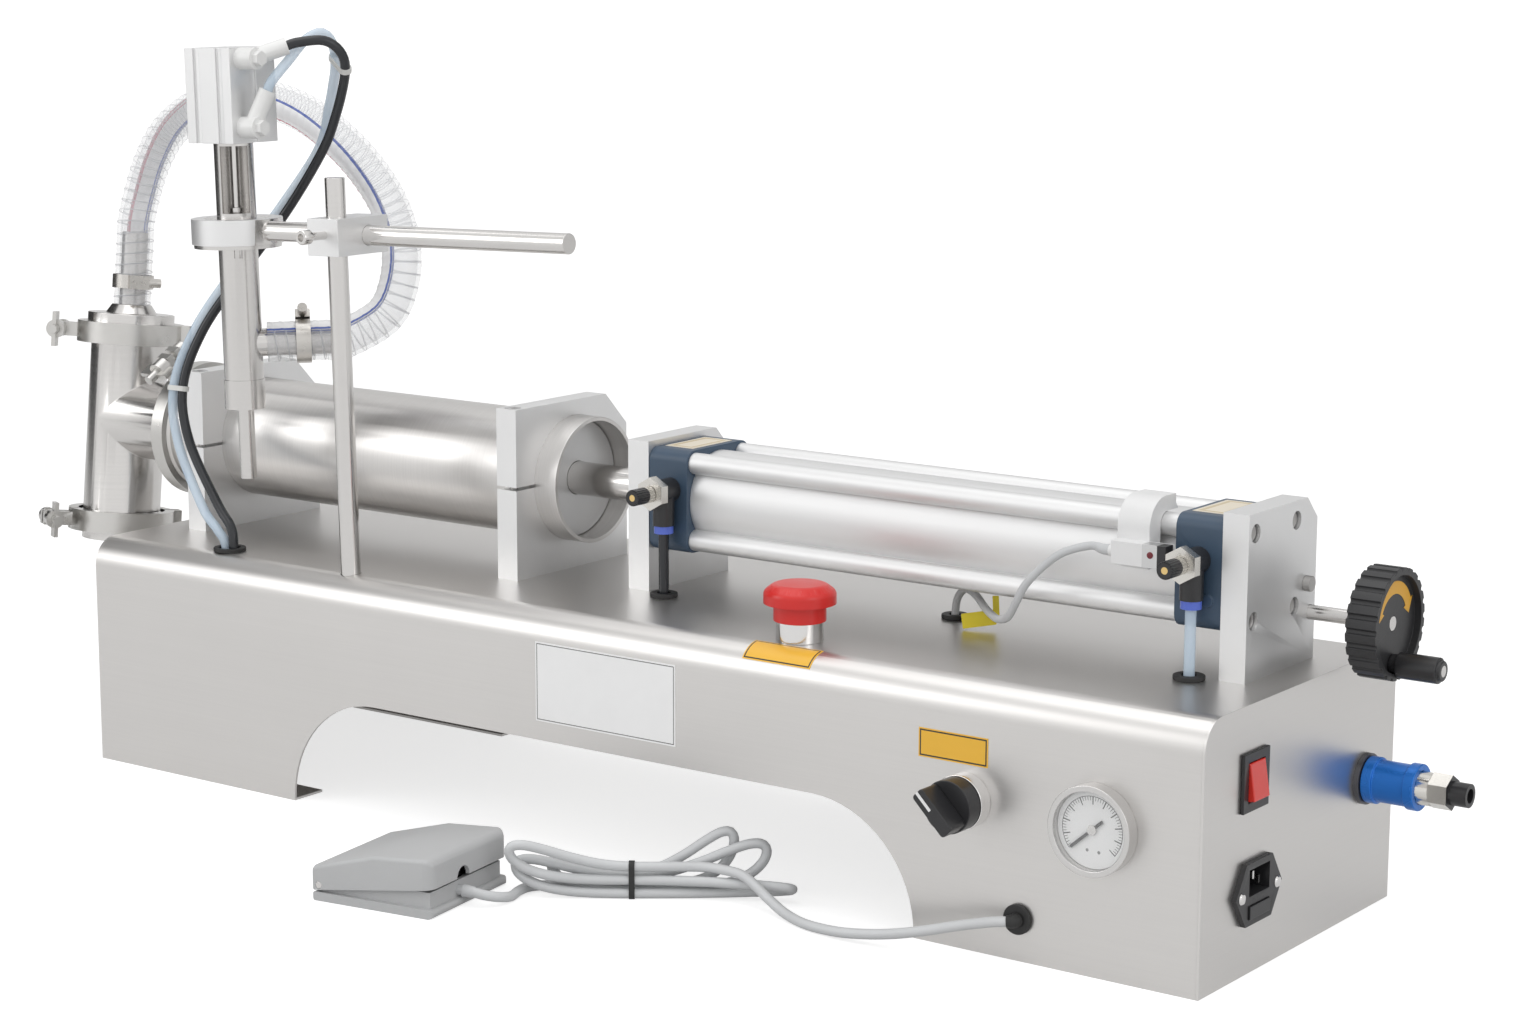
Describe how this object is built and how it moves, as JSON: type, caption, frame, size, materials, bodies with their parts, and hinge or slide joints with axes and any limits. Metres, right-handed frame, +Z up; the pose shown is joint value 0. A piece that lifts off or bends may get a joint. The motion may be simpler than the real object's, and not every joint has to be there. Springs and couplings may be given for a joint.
{
  "type": "pneumatic liquid filling machine",
  "caption": "Horizontal piston filler: air cylinder and product cylinder on an arched cabinet, valve tee, ribbed hose, adjustable nozzle and foot pedal.",
  "frame": {"origin": "on the floor under the middle of the cabinet", "axes": "+X towards the air cylinder's end, +Z up, the controls face -Y"},
  "size_m": [0.99, 0.357, 0.4618],
  "materials": {
    "cabinet_steel": "brushed stainless sheet, grain along the cabinet",
    "machined_aluminium": "bead blasted and clear anodised",
    "black_screws": "black oxide socket screws",
    "polished_steel": "polished stainless tube",
    "cast_steel": "cast and tumbled stainless",
    "white_seal": "white seal plastic",
    "barrel_aluminium": "extruded and clear anodised",
    "cap_paint": "dark blue grey coat on cast caps",
    "grey_plastic": "dark grey moulded plastic",
    "black_rubber": "soft black rubber",
    "hose_vinyl": "translucent white ribbed vinyl",
    "clamp_steel": "rolled stainless band",
    "black_tube": "black polyurethane tube",
    "clear_tube": "clear bluish polyurethane tube",
    "grey_cable": "grey vinyl sheath",
    "black_plastic": "black moulded plastic",
    "red_plastic": "red moulded plastic",
    "coupling_brass": "nickel plated brass",
    "blue_plastic": "blue moulded plastic",
    "gear_plastic": "valve and board housings",
    "pedal_paint": "grey moulded plastic with a fine texture",
    "pedal_steel": "plain steel",
    "white_plastic": "white moulded plastic"
  },
  "bodies": {
    "root": {"cabinet_shell": "cabinet_steel", "end_panels": "cabinet_steel", "mounting_blocks": "machined_aluminium", "frame_screws": "black_screws", "product_cylinder": "polished_steel", "valve_tee": "polished_steel", "tee_ports": "polished_steel", "stand_rod": "polished_steel", "clamp_rings": "cast_steel", "valve_seats": "white_seal", "air_barrel": "barrel_aluminium", "air_caps": "cap_paint", "flow_controls": "grey_plastic", "grommets": "black_rubber", "filling_hose": "hose_vinyl", "top_hose_clamp": "clamp_steel", "black_air_tube": "black_tube", "clear_air_tube": "clear_tube", "cylinder_air_tubes": "clear_tube", "sensor_cable": "grey_cable", "cord_hank": "grey_cable", "cord_lead": "grey_cable", "cord_tail": "grey_cable", "control_bases": "black_plastic", "gauge_case": "black_plastic", "power_inlet": "black_plastic", "reed_sensor": "black_plastic", "air_inlet": "coupling_brass", "control_gear": "gear_plastic", "pedal_base": "pedal_paint", "pedal_works": "pedal_steel"},
    "piston": {"product_piston": "grey_plastic", "piston_rod": "polished_steel"},
    "screw": {"lead_screw": "polished_steel", "handwheel": "black_plastic"},
    "crank": {"crank_knob": "black_plastic"},
    "carriage": {"sensor_carriage": "machined_aluminium"},
    "nozzle_head": {"cross_block": "machined_aluminium", "nozzle_arm": "polished_steel", "nozzle_body": "polished_steel", "nozzle_spout": "polished_steel", "nozzle_actuator": "machined_aluminium", "actuator_elbows": "white_plastic", "nozzle_hose_clamp": "clamp_steel"},
    "height_screw": {"height_screw": "cast_steel"},
    "valve_rod": {"valve_rod": "polished_steel"},
    "estop_button": {"estop_button": "red_plastic"},
    "selector_knob": {"selector_knob": "black_plastic"},
    "gauge_needle": {"gauge_needle": "black_plastic"},
    "switch_rocker": {"switch_rocker": "red_plastic"},
    "fuse_drawer": {"fuse_drawer": "black_plastic"},
    "inlet_sleeve": {"inlet_sleeve": "blue_plastic"},
    "front_flow_knob": {"front_flow_knob": "grey_plastic"},
    "rear_flow_knob": {"rear_flow_knob": "grey_plastic"},
    "inlet_ball": {"inlet_ball": "cast_steel"},
    "outlet_ball": {"outlet_ball": "cast_steel"},
    "treadle": {"treadle": "pedal_paint"},
    "side_wing_nut": {"side_wing_nut": "cast_steel"},
    "top_wing_nut": {"top_wing_nut": "cast_steel"},
    "bottom_wing_nut": {"bottom_wing_nut": "cast_steel"}
  },
  "joints": [
    {"name": "piston_stroke", "type": "slide", "parent": "root", "child": "piston", "axis": [-1, 0, 0], "range_m": [0, 0.28]},
    {"name": "screw_turn", "type": "hinge", "parent": "root", "child": "screw", "pos_m": [0.2, 0.0467, 0.1682], "axis": [1, 0, 0], "range_deg": [0, 24750]},
    {"name": "crank_spin", "type": "hinge", "parent": "screw", "child": "crank", "pos_m": [0.43, 0.0467, 0.1466], "axis": [1, 0, 0], "continuous": true},
    {"name": "carriage_slide", "type": "slide", "parent": "root", "child": "carriage", "axis": [1, 0, 0], "range_m": [-0.275, 0]},
    {"name": "nozzle_height", "type": "slide", "parent": "root", "child": "nozzle_head", "axis": [-0.0279, 0, 0.9996], "range_m": [-0.04, 0.02], "deforming": ["filling_hose", "black_air_tube", "clear_air_tube"]},
    {"name": "height_screw_turn", "type": "hinge", "parent": "nozzle_head", "child": "height_screw", "pos_m": [-0.20888, -0.0907, 0.34209], "axis": [0.9996, 0, 0.0279], "range_deg": [0, 1080]},
    {"name": "nozzle_valve", "type": "slide", "parent": "nozzle_head", "child": "valve_rod", "axis": [-0.0279, 0, 0.9996], "range_m": [0, 0.012]},
    {"name": "estop_press", "type": "slide", "parent": "root", "child": "estop_button", "axis": [0, 0, -1], "range_m": [0, 0.005]},
    {"name": "selector_turn", "type": "hinge", "parent": "root", "child": "selector_knob", "pos_m": [0.257, -0.1285, 0.081], "axis": [0, 1, 0], "range_deg": [0, 90]},
    {"name": "gauge_sweep", "type": "hinge", "parent": "root", "child": "gauge_needle", "pos_m": [0.3345, -0.1135, 0.079], "axis": [0, 1, 0], "range_deg": [0, 262], "stiffness_Nm_per_rad": 0.0001},
    {"name": "switch_rock", "type": "hinge", "parent": "root", "child": "switch_rocker", "pos_m": [0.3954, -0.056, 0.1025], "axis": [0, 1, 0], "range_deg": [0, 18]},
    {"name": "drawer_pull", "type": "slide", "parent": "root", "child": "fuse_drawer", "axis": [1, 0, 0], "range_m": [0, 0.02]},
    {"name": "sleeve_slide", "type": "slide", "parent": "root", "child": "inlet_sleeve", "axis": [1, 0, 0], "range_m": [0, 0.006]},
    {"name": "front_flow_turn", "type": "hinge", "parent": "root", "child": "front_flow_knob", "pos_m": [0, -0.06, 0.2045], "axis": [0, -1, 0], "range_deg": [0, 1800]},
    {"name": "rear_flow_turn", "type": "hinge", "parent": "root", "child": "rear_flow_knob", "pos_m": [0.34325, -0.06, 0.2045], "axis": [0, -1, 0], "range_deg": [0, 1800]},
    {"name": "inlet_ball_lift", "type": "slide", "parent": "root", "child": "inlet_ball", "axis": [0, 0.1115, 0.9938], "range_m": [0, 0.008]},
    {"name": "outlet_ball_lift", "type": "slide", "parent": "root", "child": "outlet_ball", "axis": [0, 0.1115, 0.9938], "range_m": [0, 0.006]},
    {"name": "treadle_press", "type": "hinge", "parent": "root", "child": "treadle", "pos_m": [-0.07205, -0.2478, 0.009], "axis": [-0.1392, 0.9903, 0], "range_deg": [0, 7], "stiffness_Nm_per_rad": 1.5, "springref_deg": -17.19},
    {"name": "side_nut_turn", "type": "hinge", "parent": "root", "child": "side_wing_nut", "pos_m": [-0.41, -0.02312, 0.24611], "axis": [0, -0.866, -0.5], "range_deg": [0, 1080]},
    {"name": "top_nut_turn", "type": "hinge", "parent": "root", "child": "top_wing_nut", "pos_m": [-0.52303, -0.01639, 0.25716], "axis": [0.5878, -0.804, 0.0902], "range_deg": [0, 1080]},
    {"name": "bottom_nut_turn", "type": "hinge", "parent": "root", "child": "bottom_wing_nut", "pos_m": [-0.50835, -0.04351, 0.13391], "axis": [0.866, -0.4969, 0.0557], "range_deg": [0, 1080]}
  ],
  "couplings": [
    {"joint": "screw_turn", "follows": "carriage_slide", "rad_per_m": -1570.8}
  ]
}
